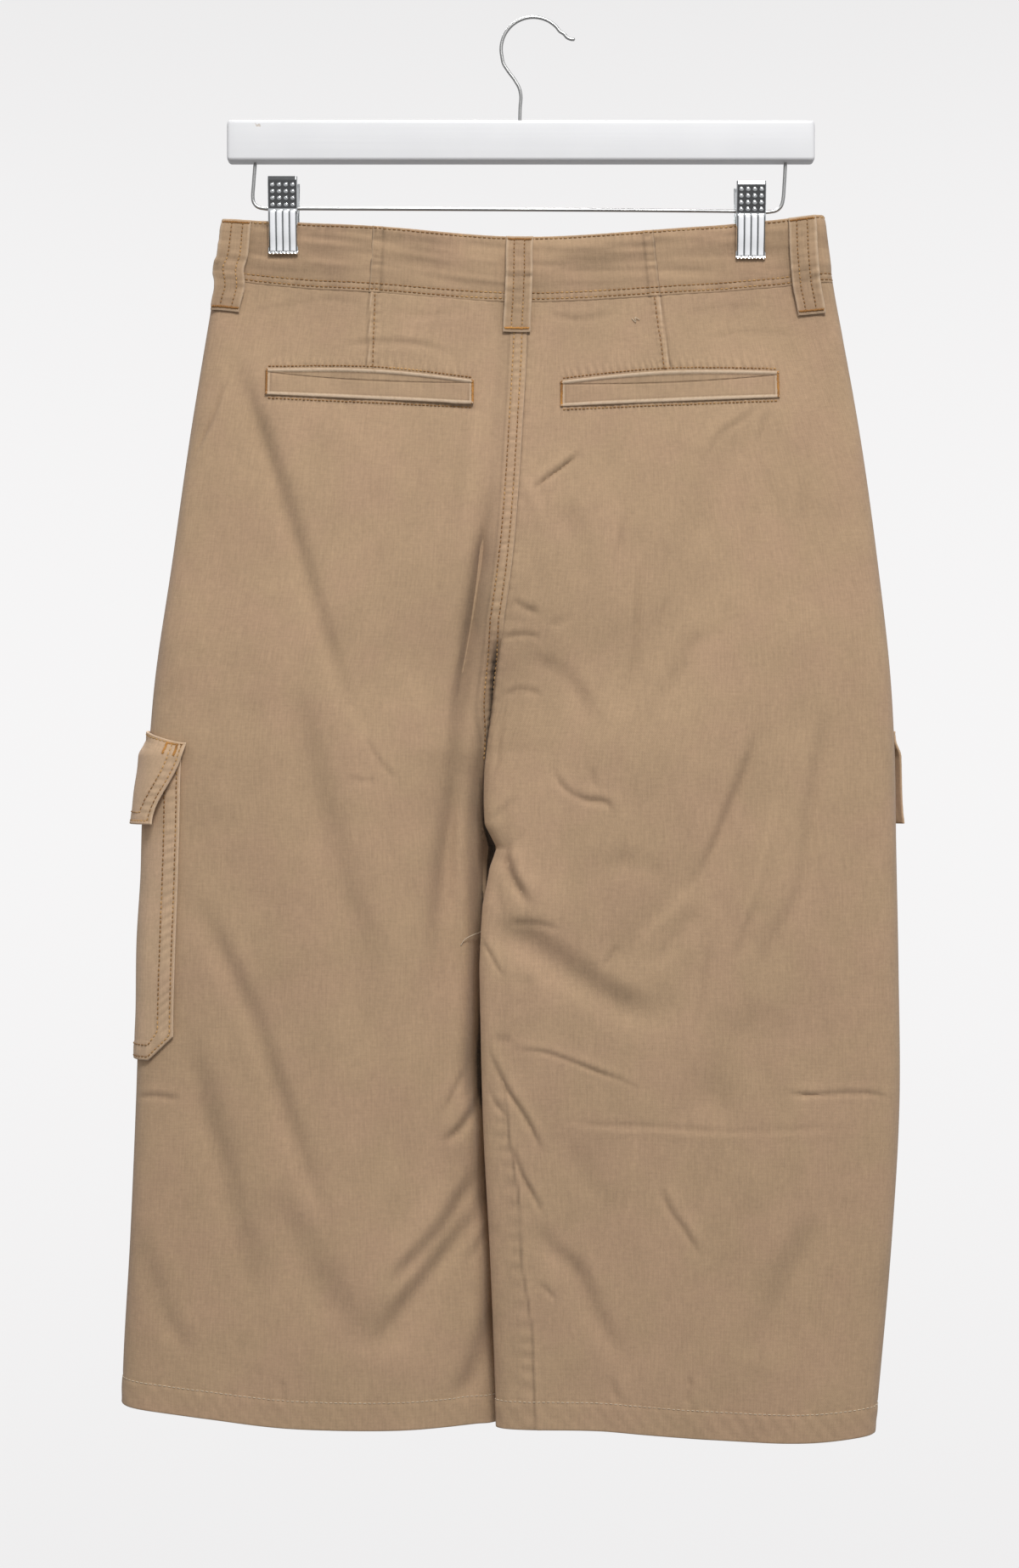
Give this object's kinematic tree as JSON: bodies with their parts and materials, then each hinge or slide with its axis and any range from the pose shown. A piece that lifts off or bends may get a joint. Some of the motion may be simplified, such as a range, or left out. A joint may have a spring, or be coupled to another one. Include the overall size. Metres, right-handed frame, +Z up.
{
  "type": "cargo shorts on a clip hanger",
  "caption": "Long wide-leg khaki cargo shorts with flapped leg pockets and welt back pockets, hung flat by the waistband from a white bar hanger with spring clips.",
  "frame": {"origin": "top of the inner side of the hanger's hook, where it rests on a rail or a wall hook", "axes": "+Z up, +Y towards the front of the shorts (the fly), +X towards the wearer's right, which is the viewer's right when looking at the back"},
  "size_m": [0.5145, 0.068, 0.9312],
  "materials": {
    "cotton_twill": "matt washed cotton twill with a fine diagonal weave, paler along worn seam edges",
    "thread_gold": "golden brown topstitching and bar tacks",
    "thread_pale": "pale cream topstitching at the hems",
    "zip_tape": "close-woven matt tape",
    "zip_metal": "dull antique brass",
    "button": "horn-like, softly polished",
    "painted_wood": "smooth white satin paint on wood, with small chips",
    "steel_wire": "bright drawn steel wire",
    "chrome_clip": "polished chrome on pressed sheet"
  },
  "bodies": {
    "root": {"back_panel_left_hip": "cotton_twill", "back_panel_left_leg": "cotton_twill", "back_panel_right_hip": "cotton_twill", "back_panel_right_leg": "cotton_twill", "front_panel_left_hip": "cotton_twill", "front_panel_left_leg": "cotton_twill", "front_panel_right_hip": "cotton_twill", "front_panel_right_leg": "cotton_twill", "front_pocket_facing_left": "cotton_twill", "front_pocket_facing_right": "cotton_twill", "back_pocket_welt_left": "cotton_twill", "back_pocket_welt_right": "cotton_twill", "cargo_pocket_left": "cotton_twill", "cargo_pocket_right": "cotton_twill", "cargo_flap_left": "cotton_twill", "cargo_flap_right": "cotton_twill", "waistband_back_centre": "cotton_twill", "waistband_back_left": "cotton_twill", "waistband_back_right": "cotton_twill", "waistband_front_left": "cotton_twill", "waistband_front_right": "cotton_twill", "belt_loop_back_left": "cotton_twill", "belt_loop_back_right": "cotton_twill", "belt_loop_back_centre": "cotton_twill", "belt_loop_front_left": "cotton_twill", "belt_loop_front_right": "cotton_twill", "fly_placket": "cotton_twill", "zip_tape": "zip_tape", "zip_slider": "zip_metal", "waist_button": "button", "hanger_bar": "painted_wood", "hanger_hook": "steel_wire", "clip_rail": "steel_wire", "clip_left_jaw_back": "chrome_clip", "clip_left_jaw_front": "chrome_clip", "clip_left_spring": "steel_wire", "clip_right_jaw_back": "chrome_clip", "clip_right_jaw_front": "chrome_clip", "clip_right_spring": "steel_wire"}
  },
  "joints": []
}
